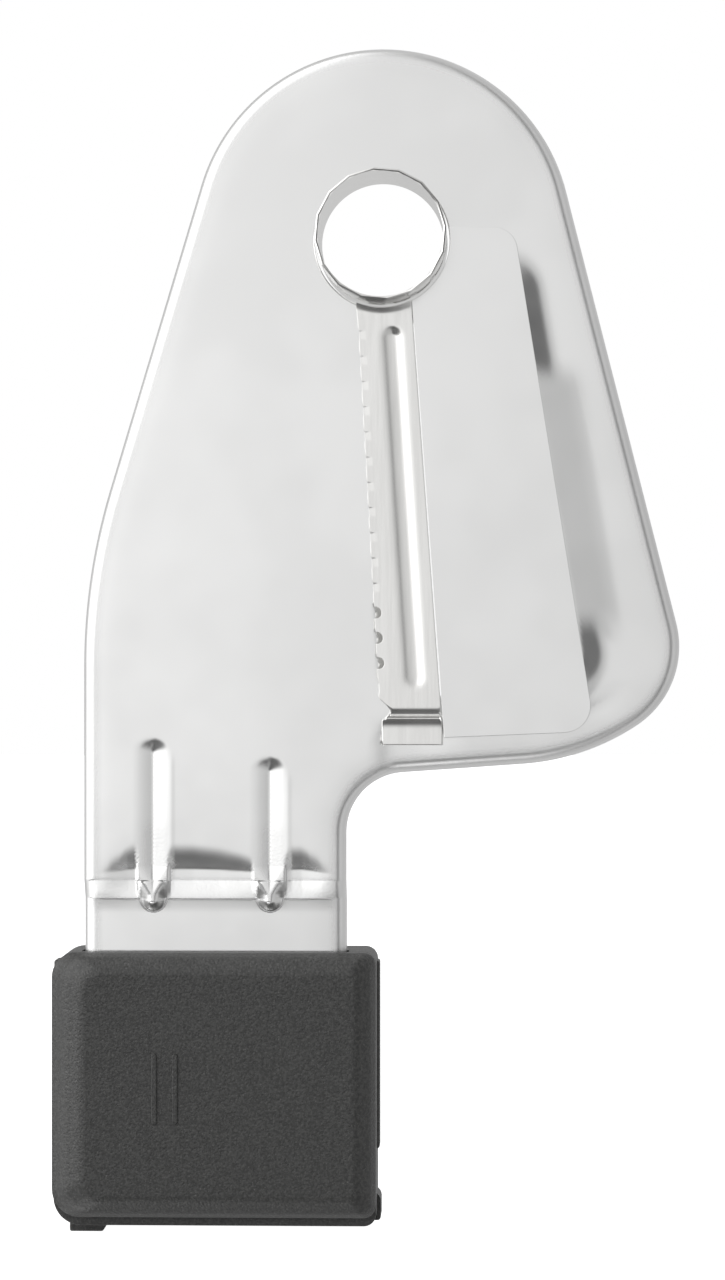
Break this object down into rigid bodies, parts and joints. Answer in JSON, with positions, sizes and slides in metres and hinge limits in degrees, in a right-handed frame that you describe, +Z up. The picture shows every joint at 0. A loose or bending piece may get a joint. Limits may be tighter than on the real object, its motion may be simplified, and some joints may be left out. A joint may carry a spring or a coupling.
{
  "type": "spiral slicer blade cassette",
  "caption": "Pressed steel blade plate with a corer ring, a serrated slicing blade and a landing plate, clamped in a dark plastic base that slides into a machine's holder.",
  "frame": {"origin": "the seat face: the middle of the base's underside across its width, at mid depth of the base", "axes": "+Z up from the seat towards the head of the plate, +Y from the food side to the slice side, +X to the right seen from the food side"},
  "size_m": [0.0808, 0.0209, 0.1523],
  "materials": {
    "satin_steel": "cold-rolled stainless sheet, satin, with a fine grain where it was pressed",
    "blade_steel": "harder blade steel, satin, ground bright along its teeth",
    "graphite_plastic": "dark graphite plastic with a fine spark-eroded texture",
    "screw_steel": "plain bright screw steel"
  },
  "bodies": {
    "root": {"blade_plate": "satin_steel", "landing_plate": "satin_steel", "slicing_blade": "blade_steel", "corer_ring": "blade_steel", "front_cover": "graphite_plastic", "rear_cover": "graphite_plastic", "cover_screw_1": "screw_steel", "cover_screw_2": "screw_steel", "cover_screw_3": "screw_steel", "cover_screw_4": "screw_steel"}
  },
  "joints": []
}
